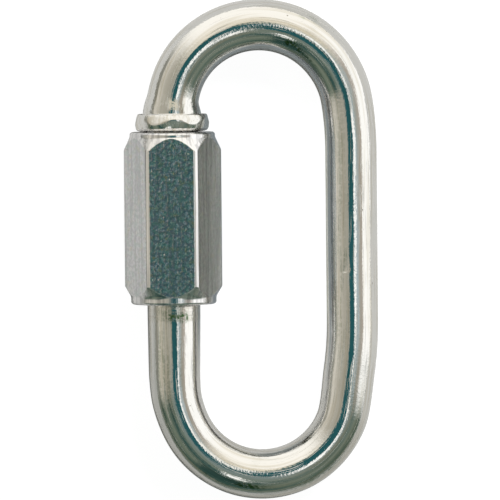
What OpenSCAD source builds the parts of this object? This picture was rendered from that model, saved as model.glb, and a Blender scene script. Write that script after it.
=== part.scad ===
// Chain quick link: a round steel bar bent into a long loop, with a mouth in one leg and a
// hexagonal sleeve nut that screws across the mouth. Millimetres.
// It lies at rest on the plane z = 0, on one flat of the nut and on the back leg, long axis along Y.
// The origin is on that plane, under the middle of the whole link.

/* [Bar] */
// Diameter of the round bar that the link is bent from
bar_d = 6; // [5:0.1:7]
// Clear width inside the loop, between its two legs
inside_w = 14.85; // [12:0.05:20]
// How much the bar's diameter shrinks where it is bent
bend_thinning = 0.1; // [0.04:0.02:0.2]
// How much narrower the loop is across its top bow
top_taper = 0.35; // [0.1:0.05:1.5]
// How much narrower the loop is across its bottom bow
bottom_taper = 1.05; // [0.1:0.05:1.5]
// Radius, on the bar's axis, of the slow sweep from each bow into the back leg
sweep_r = 40; // [25:1:60]
// Straight bar left under the nut when the mouth is fully open
leg_spare = 0.1; // [0.1:0.1:20]

/* [Mouth] */
// Clear opening between the two threaded ends
mouth_gap = 7; // [5:0.5:10]
// Length of the threaded stub under the collar
stub_len = 3; // [2:0.5:5]
// Chamfer on the tips of the two threaded ends
tip_chamfer = 0.6; // [0.2:0.1:1]

/* [Collar] */
// How far the collar stands out from the bar
collar_step = 1.3; // [0.9:0.1:2]
// Height of the collar along the leg
collar_h = 2; // [1.6:0.1:4]
// How far the collar's barrelled side falls back at its edges
collar_drop = 0.27; // [0.1:0.01:0.6]
// How far the bar swells where it runs into the collar
swell_step = 0.38; // [0.1:0.01:0.6]
// Length of the swollen bar above the collar, with its taper
swell_h = 2.2; // [1.5:0.1:3]
// Length of the swollen bar before it tapers
cuff_h = 0.8; // [0.4:0.1:1.2]

/* [Sleeve nut] */
// Size across the flats, as a spanner takes it
nut_af = 10; // [9:0.1:14]
// Length of the nut
nut_len = 20; // [18:0.5:30]
// Gap between the closed nut and the collar
nut_gap = 0.1; // [0.1:0.05:0.5]
// Rounding of the six long edges
nut_edge_r = 0.55; // [0.2:0.05:1]
// Height of the round land at each end
land_h = 0.9; // [0.5:0.1:2]
// How far the lands lie inside the flats
land_inset = 0.04; // [0.03:0.01:0.4]
// Angle of the end chamfers, measured from the nut's axis
chamfer_angle = 31; // [20:1:45]
// Edge break on the outer rim of each end face
rim_break = 0.2; // [0.05:0.05:0.4]

/* [Bore] */
// Length of the threaded bore, from the collar end
thread_len = 12; // [10:0.5:16]
// Radial clearance of the threaded bore over the bar
thread_clear = 0.1; // [0.05:0.01:0.2]
// Radial clearance of the plain bore over the bar
relief_clear = 0.3; // [0.2:0.05:0.6]
// Depth of the countersink at each end of the bore
countersink = 0.6; // [0.2:0.1:1]

/* [Hidden] */
$fn = 96;
bar_r = bar_d / 2;
bend_r = (bar_d - bend_thinning) / 2;
// Each bend runs this far on inside the thicker straight bar
tuck = 0.5;
// The legs are just long enough for the collar, the nut and the nut's travel
nut_travel = stub_len + mouth_gap;
leg_len = collar_h + nut_gap + nut_len + nut_travel + leg_spare;
bow_y = leg_len / 2;
// Stations down the nut leg, from the top bow
collar_y = bow_y - collar_h;
stub_tip_y = collar_y - stub_len;
long_tip_y = stub_tip_y - mouth_gap;
nut_top_y = collar_y - nut_gap;
// A bow springs from the nut leg, and a sweep of sweep_r takes up its taper before the back leg
leg_space = inside_w + bar_d;
function bow_r(taper) = (leg_space - taper) / 2;
function sweep_dy(taper) = sqrt(2 * taper * (sweep_r - bow_r(taper)) - taper * taper);
function sweep_angle(taper) = asin(sweep_dy(taper) / (sweep_r - bow_r(taper)));
back_top_y = bow_y - sweep_dy(top_taper);
back_bottom_y = sweep_dy(bottom_taper) - bow_y;
// The bows differ, so the middle of the whole length lies off the middle of the legs
middle_y = (bow_r(top_taper) - bow_r(bottom_taper)) / 2;
// The nut is thicker than the bar, so the loop leans down from the nut to the back leg
rest_roll = asin((nut_af / 2 - bar_r) / leg_space);
// Extent of the nut's rounded corners from its axis
nut_corner_r = (nut_af / 2 - nut_edge_r) / cos(30) + nut_edge_r;
// The nut leg's place, with the whole width centred on x = 0
nut_leg_x = (nut_corner_r - leg_space * cos(rest_roll) - bar_r) / 2;
// Round lands and chamfers of the nut
land_r = nut_af / 2 - land_inset;
chamfer_r = nut_corner_r + nut_edge_r;
chamfer_h = (chamfer_r - land_r) / tan(chamfer_angle);
thread_r = bar_r + thread_clear;
relief_r = bar_r + relief_clear;

// Places a child that is drawn on the nut leg's axis, its Z axis up the leg
module on_nut_leg(y) {
    translate([0, y, 0]) rotate([-90, 0, 0]) children();
}

// Bent bar that leaves [0, 0] along Y and turns by an angle, to the left if it is positive,
// with a tuck beyond its far end
module bend(radius, angle) {
    tuck_angle = sign(angle) * tuck / radius * 180 / PI;
    translate([-radius, 0, 0])
        rotate_extrude(angle = angle + tuck_angle)
            translate([radius, 0]) circle(r = bend_r);
}

// Straight bar up the leg with a chamfered tip at its far end
module threaded_end(length) {
    rotate_extrude()
        polygon([[0, 0], [bar_r, 0], [bar_r, length - tip_chamfer],
                 [bar_r - tip_chamfer, length], [0, length]]);
}

// One end of the loop, drawn from the point where the bow and the sweep to the back leg meet
module bow_end(taper) {
    radius = bow_r(taper);
    angle = sweep_angle(taper);
    translate([radius, bow_y, 0]) rotate([0, 0, angle]) translate([radius, 0, 0]) {
        bend(radius, 180 - angle);
        bend(sweep_r, -angle);
    }
}

// Collar with a barrelled side, and the swollen bar above it
module collar() {
    collar_r = bar_r + collar_step;
    half_h = collar_h / 2;
    barrel_r = (half_h * half_h + collar_drop * collar_drop) / (2 * collar_drop);
    rotate_extrude() {
        square([bar_r, collar_h]);
        intersection() {
            square([collar_r, collar_h]);
            translate([collar_r - barrel_r, half_h]) circle(r = barrel_r);
        }
    }
    translate([0, 0, collar_h])
        rotate_extrude()
            polygon([[0, 0], [bar_r + swell_step, 0], [bar_r + swell_step, cuff_h],
                     [bar_r - swell_step, swell_h], [0, swell_h]]);
}

// Hexagon with rounded corners, two flats square to Y
module rounded_hexagon() {
    core_af = nut_af - 2 * nut_edge_r;
    core_r = core_af / 2 / cos(30);
    circle(r = core_r, $fn = 6);
    for (side = [0:5]) rotate(60 * side) {
        translate([core_r, 0]) circle(r = nut_edge_r);
        translate([-core_r / 2, 0]) square([core_r, nut_af / 2]);
    }
}

// Turned form of the nut: a land and a chamfer at each end
module turned_form() {
    rotate_extrude()
        polygon([[0, 0], [land_r - rim_break, 0], [land_r, rim_break], [land_r, land_h],
                 [chamfer_r, land_h + chamfer_h], [chamfer_r, nut_len - land_h - chamfer_h],
                 [land_r, nut_len - land_h], [land_r, nut_len - rim_break],
                 [land_r - rim_break, nut_len], [0, nut_len]]);
}

// Bore of the nut: plain run, threaded run and a countersink at each end
module nut_bore() {
    over = 1;
    rotate_extrude()
        polygon([[0, -over], [relief_r + countersink + over, -over], [relief_r, countersink],
                 [relief_r, nut_len - thread_len], [thread_r, nut_len - thread_len],
                 [thread_r, nut_len - countersink], [thread_r + countersink + over, nut_len + over],
                 [0, nut_len + over]]);
}

// Puts what is drawn round the nut leg's axis in its place at rest
module at_rest() {
    translate([nut_leg_x, -middle_y, nut_af / 2]) children();
}

// The loop is rolled about the nut leg until the back leg touches z = 0
module link_bar() {
    color("silver") at_rest() rotate([0, rest_roll, 0]) {
        bow_end(top_taper);
        mirror([0, 1, 0]) bow_end(bottom_taper);
        translate([leg_space, 0, 0]) on_nut_leg(back_bottom_y)
            cylinder(h = back_top_y - back_bottom_y, r = bar_r);
        on_nut_leg(-bow_y) threaded_end(long_tip_y + bow_y);
        on_nut_leg(collar_y) collar();
        on_nut_leg(collar_y) mirror([0, 0, 1]) threaded_end(stub_len);
    }
}

module sleeve_nut() {
    color("gainsboro") at_rest() on_nut_leg(nut_top_y - nut_len) difference() {
        intersection() {
            linear_extrude(nut_len) rounded_hexagon();
            turned_form();
        }
        nut_bore();
    }
}

link_bar();
sleeve_nut();
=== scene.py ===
"""Looks of the chain quick link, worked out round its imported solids.

The link lies on the floor, +Y up its length, +X from the nut leg to the back leg and +Z up.
Everything is in metres in that frame. The bar and the nut are each one closed grid of points.
"""

import logging
import math
from dataclasses import dataclass
from enum import Enum, IntEnum

import bpy
import numpy as np
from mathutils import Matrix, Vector

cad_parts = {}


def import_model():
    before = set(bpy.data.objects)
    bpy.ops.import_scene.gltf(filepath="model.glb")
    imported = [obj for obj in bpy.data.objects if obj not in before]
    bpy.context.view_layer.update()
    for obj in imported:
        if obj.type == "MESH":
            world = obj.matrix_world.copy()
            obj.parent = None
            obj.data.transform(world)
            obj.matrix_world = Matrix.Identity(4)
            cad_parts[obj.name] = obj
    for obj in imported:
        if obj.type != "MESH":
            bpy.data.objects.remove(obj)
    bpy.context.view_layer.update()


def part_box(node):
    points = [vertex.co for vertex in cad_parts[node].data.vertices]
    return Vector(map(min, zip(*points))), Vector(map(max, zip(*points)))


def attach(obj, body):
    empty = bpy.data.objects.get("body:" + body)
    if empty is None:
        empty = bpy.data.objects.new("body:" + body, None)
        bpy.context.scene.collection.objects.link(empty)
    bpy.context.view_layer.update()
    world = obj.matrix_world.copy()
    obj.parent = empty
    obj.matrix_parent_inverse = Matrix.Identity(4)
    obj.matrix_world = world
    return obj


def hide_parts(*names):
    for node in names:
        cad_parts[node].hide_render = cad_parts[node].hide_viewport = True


LOG = logging.getLogger("quick_link")
MM = 0.001
TURN = 2.0 * math.pi
HORIZON_DEG = 90.0

Pair = tuple[float, float]
Triple = tuple[float, float, float]
Band = tuple[float, float, float, float]
Colour = tuple[float, float, float]
Socket = bpy.types.NodeSocket
Sockets = bpy.types.bpy_prop_collection


class Ends(Enum):
    """How the first and the last row of a grid of points are finished."""

    POLES = "each closes on a point"
    RING = "the last row joins the first"


class Flow(Enum):
    """Named attributes that the finishes read."""

    ALONG_BAR = "along_bar"
    STAINED = "stained"
    TURNED = "turned"


@dataclass(frozen=True)
class Fade:
    """Smooth change from start, where a value is low, to end, where it is high."""

    low: float | Socket
    high: float | Socket
    start: float = 0.0
    end: float = 1.0


@dataclass(frozen=True)
class Oval:
    """Level oval: the place of its middle, and its reach along X and along Y."""

    x: float
    y: float
    reach_x: float
    reach_y: float


def smooth_step(value: np.ndarray, low: float, high: float) -> np.ndarray:
    """Eases from 0 at low to 1 at high along 3t^2 - 2t^3."""
    t = np.clip((value - low) / (high - low), 0.0, 1.0)
    return t * t * (3.0 - 2.0 * t)


def run(start: Pair, end: Pair, count: int) -> np.ndarray:
    """Straight run of count profile points from start to end, both included."""
    return np.linspace(start, end, count)


def grid_faces(rows: int, cols: int, ends: Ends) -> list[list[int]]:
    """Faces of a grid whose columns close round.

    Each quad joins a row to the next one, and at a pole each edge of the end row makes a
    triangle with the point that follows the grid's own points.

    Args:
        rows: Number of rows.
        cols: Number of points in a row.
        ends: How the first and last rows are finished.

    Returns:
        Lists of point numbers, wound so that the faces point outwards.
    """
    spans = rows if ends is Ends.RING else rows - 1
    row, col = np.meshgrid(np.arange(spans), np.arange(cols), indexing="ij")
    after_row = (row + 1) % rows
    after_col = (col + 1) % cols
    corners = [row * cols + col, row * cols + after_col]
    corners += [after_row * cols + after_col, after_row * cols + col]
    faces = np.stack(corners, axis=-1).reshape(-1, 4).tolist()
    if ends is Ends.POLES:
        here = np.arange(cols)
        after = (here + 1) % cols
        first_pole = np.full(cols, rows * cols)
        last_row = (rows - 1) * cols
        faces += np.stack([first_pole, after, here], axis=-1).tolist()
        faces += np.stack([first_pole + 1, last_row + here, last_row + after], axis=-1).tolist()
    return faces


def make_piece(name: str, points: np.ndarray, ends: Ends) -> bpy.types.Object:
    """Makes a smooth closed mesh object at the origin from a grid of points.

    Args:
        name: Name of the piece.
        points: Array of rows by columns by three, in metres.
        ends: How the first and last rows are finished.

    Returns:
        The new object.
    """
    rows, cols = points.shape[:2]
    mesh = bpy.data.meshes.new(name)
    mesh.from_pydata(with_poles(points, ends).tolist(), [], grid_faces(rows, cols, ends))
    mesh.polygons.foreach_set("use_smooth", np.ones(len(mesh.polygons), bool))
    mesh.update()
    piece = bpy.data.objects.new(name, mesh)
    bpy.context.scene.collection.objects.link(piece)
    return piece


def with_poles(grid: np.ndarray, ends: Ends) -> np.ndarray:
    """Flattens a grid to a list, with the mean of each end row added as a pole where it has poles.

    Args:
        grid: Array of rows by columns by the numbers of a point.
        ends: How the first and last rows are finished.

    Returns:
        Array of points by their numbers.
    """
    flat = grid.reshape(-1, grid.shape[-1])
    if ends is Ends.RING:
        return flat
    return np.vstack([flat, grid[:1].mean(axis=1), grid[-1:].mean(axis=1)])


def store_vectors(piece: bpy.types.Object, flow: Flow, grid: np.ndarray, ends: Ends) -> None:
    """Stores a grid of vectors on the piece's points under the flow's name."""
    attribute = piece.data.attributes.new(flow.value, "FLOAT_VECTOR", "POINT")
    attribute.data.foreach_set("vector", with_poles(grid, ends).ravel())


def store_values(piece: bpy.types.Object, flow: Flow, grid: np.ndarray, ends: Ends) -> None:
    """Stores a grid of numbers on the piece's points under the flow's name."""
    attribute = piece.data.attributes.new(flow.value, "FLOAT", "POINT")
    attribute.data.foreach_set("value", with_poles(grid[..., None], ends).ravel())


def rounded_ring(corners: np.ndarray, cuts: np.ndarray, steps: int) -> np.ndarray:
    """Rounds every corner of closed polylines, all columns at once.

    A corner P becomes the quadratic Bezier curve with P as its control point, from the point
    one cut before P to the point one cut after it. A cut takes at most 0.4 of its shorter side.
    One more row a quarter of a cut out on each side keeps the straight runs flat when shaded.

    Args:
        corners: Array of corners by columns by two.
        cuts: Cut length at each corner.
        steps: Points on each curve.

    Returns:
        Array of rows by columns by two.
    """
    before = np.roll(corners, 1, axis=0) - corners
    after = np.roll(corners, -1, axis=0) - corners
    before_len = np.linalg.norm(before, axis=-1, keepdims=True)
    after_len = np.linalg.norm(after, axis=-1, keepdims=True)
    longest = 0.4 * np.minimum(before_len, after_len)
    cut = np.minimum(cuts[:, None, None], longest)
    guard = 0.25 * cut
    start = corners + before / before_len * cut
    end = corners + after / after_len * cut
    guard_in = start + before / before_len * guard
    guard_out = end + after / after_len * guard
    t = np.linspace(0.0, 1.0, steps)[None, :, None, None]
    curve = (1 - t) ** 2 * start[:, None] + 2 * t * (1 - t) * corners[:, None]
    curve = curve + t**2 * end[:, None]
    rows = np.concatenate([guard_in[:, None], curve, guard_out[:, None]], axis=1)
    return rows.reshape(-1, *corners.shape[1:])


@dataclass(frozen=True)
class ThreadForm:
    """Right-hand metric thread round the nut leg."""

    pitch: float = 1.0 * MM
    depth: float = 0.55 * MM
    crest: float = 0.14
    root: float = 0.24

    def groove(self, height: np.ndarray, angle: np.ndarray) -> np.ndarray:
        """Share of the full depth cut away at a height on the axis and an angle round it.

        The phase is the height in pitches less the angle in turns. Its distance from the crest,
        0 to 1, is eased between the flat of the crest and the flat of the root.

        Args:
            height: Place along the nut leg's axis.
            angle: Angle round +Y, from +Z towards +X.

        Returns:
            0 on the crest to 1 in the root.
        """
        phase = height / self.pitch - angle / TURN
        from_crest = np.abs(2.0 * (phase - np.floor(phase)) - 1.0)
        return smooth_step(1.0 - from_crest, self.crest, 1.0 - self.root)


@dataclass(frozen=True)
class Mark:
    """Single mark on the bar: a Gaussian spot at a place along it and an angle round it.

    Its far side along the bar falls off over the tail instead of the length, if it has a tail.
    """

    along: float
    angle_deg: float
    length: float
    width: float
    amount: float
    tail: float = 0.0

    def spread(self, along: np.ndarray, angle: np.ndarray, radius: float) -> np.ndarray:
        """Amount of the mark over the whole grid: e to the minus squared distance from its middle.

        Args:
            along: Length of each row.
            angle: Angle of each column round the bar.
            radius: Radius of the bar.

        Returns:
            Share of the mark at every grid point, times its amount.
        """
        turn = np.remainder(angle - math.radians(self.angle_deg) + math.pi, TURN) - math.pi
        reach = np.where(along > self.along, self.tail or self.length, self.length)
        away = ((along - self.along) / reach) ** 2 + (turn * radius / self.width) ** 2
        return self.amount * np.exp(-away)


class Tree:
    """Adds nodes to one node tree and joins their sockets."""

    def __init__(self, tree: bpy.types.NodeTree) -> None:
        """Keeps the tree that the nodes go into."""
        self.tree = tree

    def add(self, kind: str, inputs: dict | None = None, **settings: object) -> bpy.types.Node:
        """Adds one node.

        Args:
            kind: The node's type.
            inputs: Sockets to join, or values to set, by input name or number.
            settings: The node's own properties.

        Returns:
            The new node.
        """
        node = self.tree.nodes.new(kind)
        for name, value in settings.items():
            setattr(node, name, value)
        for key, value in (inputs or {}).items():
            if isinstance(value, Socket):
                self.tree.links.new(value, node.inputs[key])
            else:
                node.inputs[key].default_value = value
        return node

    def join(self, source: Socket, target: Socket) -> None:
        """Joins an output to an input."""
        self.tree.links.new(source, target)

    def attribute(self, flow: Flow, output: str) -> Socket:
        """Output of the attribute that the piece has under the flow's name."""
        return self.add("ShaderNodeAttribute", attribute_name=flow.value).outputs[output]

    def math(self, operation: str, *values: float | Socket) -> Socket:
        """Result of a Math node on one to three values."""
        return self.add("ShaderNodeMath", dict(enumerate(values)), operation=operation).outputs[0]

    def times(self, first: Socket, second: float | Socket) -> Socket:
        """Product of two values."""
        return self.math("MULTIPLY", first, second)

    def total(self, base: float | Socket, *terms: tuple[Socket, float | Socket]) -> Socket:
        """Base plus each term's value times its share."""
        for value, share in terms:
            base = self.math("MULTIPLY_ADD", value, share, base)
        return base

    def fade(self, value: Socket, fade: Fade) -> Socket:
        """Takes a value through a fade."""
        inputs = {"Value": value, "From Min": fade.low, "From Max": fade.high,
                  "To Min": fade.start, "To Max": fade.end}
        return self.add("ShaderNodeMapRange", inputs, interpolation_type="SMOOTHSTEP").outputs[0]

    def band(self, value: Socket, band: Band) -> Socket:
        """Mask that rises over the band's first two numbers and falls over its last two."""
        rising = self.fade(value, Fade(*band[:2]))
        return self.times(rising, self.fade(value, Fade(*band[2:], 1.0, 0.0)))

    def mix(self, share: Socket, first: Colour | Socket, second: Colour | Socket) -> Socket:
        """Colour between the first and the second."""
        inputs = {"Factor": share, 6: opaque(first), 7: opaque(second)}
        return self.add("ShaderNodeMix", inputs, data_type="RGBA").outputs[2]

    def layered(self, base: Colour | Socket, *layers: tuple[Socket, Colour | Socket]) -> Socket:
        """Base colour with each layer's colour mixed over it by the layer's share."""
        for share, colour in layers:
            base = self.mix(share, base, colour)
        return base

    def show(self, kind: str, share: Socket, first: bpy.types.Node, second: bpy.types.Node) -> None:
        """Mixes two shaders by a share into a new output node of a kind."""
        inputs = {0: share, 1: first.outputs[0], 2: second.outputs[0]}
        self.add(kind, {"Surface": self.add("ShaderNodeMixShader", inputs).outputs[0]})

    def scaled(self, vector: Socket, scale: Triple) -> Socket:
        """Vector stretched along its three axes."""
        inputs = {"Vector": vector, "Scale": scale}
        return self.add("ShaderNodeMapping", inputs).outputs[0]

    def noise(self, vector: Socket, scale: float | Socket, detail: float = 2.0) -> Socket:
        """Noise from 0 to 1."""
        inputs = {"Vector": vector, "Scale": scale, "Detail": detail}
        return self.add("ShaderNodeTexNoise", inputs).outputs[0]


def opaque(colour: Colour | Socket) -> tuple | Socket:
    """Colour with full alpha, or the socket itself."""
    return colour if isinstance(colour, Socket) else (*colour, 1.0)


class Effect(Enum):
    """Shader node groups that more than one finish uses."""

    DRAWN_LINES = "drawn lines"
    SPECKS = "specks"
    CLOUDS = "clouds"


class Effects:
    """Builds each shared effect once and places it in materials."""

    def __init__(self) -> None:
        """Builds the three groups."""
        self.groups = {
            Effect.DRAWN_LINES: self._drawn_lines(),
            Effect.SPECKS: self._specks(),
            Effect.CLOUDS: self._clouds(),
        }

    @staticmethod
    def _group(effect: Effect, inputs: tuple[str, ...], outputs: tuple[str, ...]) -> tuple:
        """Empty group with a Vector input, further numbers in, and numbers out.

        Args:
            effect: The effect that the group is named for.
            inputs: Names of the numbers in.
            outputs: Names of the numbers out.

        Returns:
            The group, its nodes, and its input and output nodes.
        """
        group = bpy.data.node_groups.new(effect.value, "ShaderNodeTree")
        group.interface.new_socket("Vector", in_out="INPUT", socket_type="NodeSocketVector")
        for name in inputs:
            group.interface.new_socket(name, in_out="INPUT", socket_type="NodeSocketFloat")
        for name in outputs:
            group.interface.new_socket(name, in_out="OUTPUT", socket_type="NodeSocketFloat")
        tree = Tree(group)
        return group, tree, tree.add("NodeGroupInput"), tree.add("NodeGroupOutput")

    def _drawn_lines(self) -> bpy.types.NodeTree:
        """Fine lines along the vector's X: noise squeezed across X and drawn out along it.

        Returns:
            The group.
        """
        stretches = {
            "Height": ((0.035, 1.0, 1.0), 3.0),
            "Broad": ((0.025, 0.65, 0.65), 2.0),
            "Scratches": ((0.06, 2.0, 2.0), 1.0),
        }
        group, tree, given, out = self._group(Effect.DRAWN_LINES, ("Across",), tuple(stretches))
        lines = {}
        for name, (stretch, detail) in stretches.items():
            drawn = tree.scaled(given.outputs["Vector"], stretch)
            lines[name] = tree.noise(drawn, given.outputs["Across"], detail)
        lines["Scratches"] = tree.fade(lines["Scratches"], Fade(0.60, 0.70))
        for name, line in lines.items():
            tree.join(line, out.inputs[name])
        return group

    def _specks(self) -> bpy.types.NodeTree:
        """Small round marks: discs at the seeds of the few cells whose random value is low.

        A disc is solid to 0.4 of its size and fades out from there.

        Returns:
            The group.
        """
        group, tree, given, out = self._group(
            Effect.SPECKS, ("Scale", "Share", "Size"), ("Mask",))
        inputs = {"Vector": given.outputs["Vector"], "Scale": given.outputs["Scale"]}
        cells = tree.add("ShaderNodeTexVoronoi", inputs)
        solid = tree.times(given.outputs["Size"], 0.4)
        disc = tree.fade(cells.outputs["Distance"], Fade(given.outputs["Size"], solid))
        red = tree.add("ShaderNodeSeparateColor", {"Color": cells.outputs["Color"]}).outputs[0]
        kept = tree.math("LESS_THAN", red, given.outputs["Share"])
        tree.join(tree.times(disc, kept), out.inputs["Mask"])
        return group

    def _clouds(self) -> bpy.types.NodeTree:
        """Soft blotches: the upper part of a coarse noise.

        Returns:
            The group.
        """
        group, tree, given, out = self._group(Effect.CLOUDS, ("Scale",), ("Mask",))
        cloud = tree.noise(given.outputs["Vector"], given.outputs["Scale"], detail=4.0)
        tree.join(tree.fade(cloud, Fade(0.52, 0.74)), out.inputs["Mask"])
        return group

    def place(self, tree: Tree, effect: Effect, vector: Socket, **values: float) -> bpy.types.Node:
        """Places one effect in a material.

        Args:
            tree: The material's nodes.
            effect: The effect to place.
            vector: The pattern's coordinates, in millimetres.
            values: Values of the group's further inputs.

        Returns:
            The group node.
        """
        inputs = {"Vector": vector, **values}
        return tree.add("ShaderNodeGroup", inputs, node_tree=self.groups[effect])


def new_material(name: str) -> tuple[bpy.types.Material, Tree, bpy.types.Node]:
    """Metal material with a plain Principled shader.

    Args:
        name: Name of the material.

    Returns:
        The material, its nodes and its shader.
    """
    material = bpy.data.materials.new(name)
    material.use_nodes = True
    tree = Tree(material.node_tree)
    shader = material.node_tree.nodes["Principled BSDF"]
    shader.inputs["Metallic"].default_value = 1.0
    return material, tree, shader


def join_finish(tree: Tree, shader: bpy.types.Node, finish: dict[str, Socket], depth: float) -> None:
    """Joins a finish to its shader.

    Args:
        tree: The material's nodes.
        shader: The material's Principled shader.
        finish: Its Base Color and Roughness, and the Height of its relief.
        depth: Depth of the relief.
    """
    bump = tree.add("ShaderNodeBump", {"Height": finish["Height"], "Distance": depth})
    tree.join(finish["Base Color"], shader.inputs["Base Color"])
    tree.join(finish["Roughness"], shader.inputs["Roughness"])
    tree.join(bump.outputs[0], shader.inputs["Normal"])


@dataclass(frozen=True)
class DrawnZinc:
    """Bright zinc plating on drawn round bar: mirror bands, lines along the bar, a few stains."""

    scuff_from: float
    scuff_to: float
    plating: Colour = (0.81, 0.80, 0.78)
    worn: Colour = (0.66, 0.63, 0.56)
    stain: Colour = (0.27, 0.26, 0.17)
    grime: Colour = (0.09, 0.18, 0.07)
    speck: Colour = (0.20, 0.17, 0.12)
    cloud_share: float = 0.08
    scuff_share: float = 0.6
    speck_share: float = 0.75
    bright_rough: float = 0.045
    streak_rough: float = 0.05
    cloud_rough: float = 0.04
    scuff_rough: float = 0.12
    scratch_rough: float = 0.42
    smudge_rough: float = 0.25
    speck_rough: float = 0.3
    line_depth: float = 0.012 * MM
    grain_share: float = 0.8
    scuff_grain: float = 1.2
    grain_scale: float = 3.6
    speck_pit: float = 0.6
    streaks: Fade = Fade(0.48, 0.66, 0.0, 0.8)
    rags: Fade = Fade(0.38, 0.54, 0.25, 1.0)
    rag_scale: float = 2.6
    rag_share: float = 0.4
    line_gaps: Fade = Fade(0.44, 0.56, 0.1, 1.0)
    hearts: Fade = Fade(1.15, 1.4)
    scuff_edge: float = 0.35 * MM
    rings: Fade = Fade(0.35, 0.60, 0.35, 1.0)
    ring_stretch: Triple = (3.0, 0.5, 0.5)
    ring_scale: float = 1.4

    def material(self, effects: Effects) -> bpy.types.Material:
        """Makes the bar's material.

        Args:
            effects: The shared node groups.

        Returns:
            The material, which reads the bar's own run of length and angle.
        """
        material, tree, shader = new_material("drawn_zinc")
        along = tree.attribute(Flow.ALONG_BAR, "Vector")
        lines = effects.place(tree, Effect.DRAWN_LINES, along, Across=3.4).outputs
        clouds = effects.place(tree, Effect.CLOUDS, along, Scale=0.42).outputs["Mask"]
        specks = effects.place(tree, Effect.SPECKS, along, Scale=0.6, Share=0.4, Size=0.07)
        marked = specks.outputs["Mask"]
        scuffed = self._scuffed(tree, along)
        smudge = self._smudged(tree, along, lines["Height"])
        streaked = tree.fade(lines["Broad"], self.streaks)
        colour = tree.layered(
            self.plating,
            (streaked, self.worn),
            (tree.times(clouds, self.cloud_share), self.stain),
            (tree.times(scuffed, self.scuff_share), self.worn),
            (smudge, self.grime),
            (tree.times(marked, self.speck_share), self.speck),
        )
        rough = tree.total(
            self.bright_rough,
            (streaked, self.streak_rough),
            (clouds, self.cloud_rough),
            (scuffed, self.scuff_rough),
            (lines["Scratches"], self.scratch_rough),
            (smudge, self.smudge_rough),
            (marked, self.speck_rough),
        )
        fine = tree.noise(along, self.grain_scale, detail=3.0)
        grain = tree.total(self.grain_share, (scuffed, self.scuff_grain))
        height = tree.total(lines["Height"], (fine, grain), (marked, -self.speck_pit))
        finish = {"Base Color": colour, "Roughness": rough, "Height": height}
        join_finish(tree, shader, finish, self.line_depth)
        return material

    def _smudged(self, tree: Tree, along: Socket, line_height: Socket) -> Socket:
        """Mask of the stains: ragged and broken up by the drawn lines, and whole in their hearts.

        Args:
            tree: The material's nodes.
            along: The bar's own coordinates, in millimetres.
            line_height: Height of the drawn lines.

        Returns:
            0 on clean plating to 1 in a stain.
        """
        soiled = tree.attribute(Flow.STAINED, "Fac")
        ragged = tree.fade(tree.noise(along, self.rag_scale, detail=3.0), self.rags)
        lined = tree.fade(line_height, self.line_gaps)
        whole = tree.fade(tree.total(soiled, (ragged, self.rag_share)), self.hearts)
        return tree.times(soiled, tree.math("MAXIMUM", tree.times(ragged, lined), whole))

    def _scuffed(self, tree: Tree, along: Socket) -> Socket:
        """Mask of the length that the nut has rubbed dull, with rings round the bar in it.

        Args:
            tree: The material's nodes.
            along: The bar's own coordinates, in millimetres.

        Returns:
            0 on bright plating to 1 on a rubbed ring.
        """
        length = tree.add("ShaderNodeSeparateXYZ", {0: along}).outputs[0]
        first = self.scuff_from / MM
        last = self.scuff_to / MM
        edge = self.scuff_edge / MM
        rubbed = tree.band(length, (first, first + edge, last - edge, last))
        rings = tree.noise(tree.scaled(along, self.ring_stretch), self.ring_scale, detail=3.0)
        return tree.times(rubbed, tree.fade(rings, self.rings))


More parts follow.
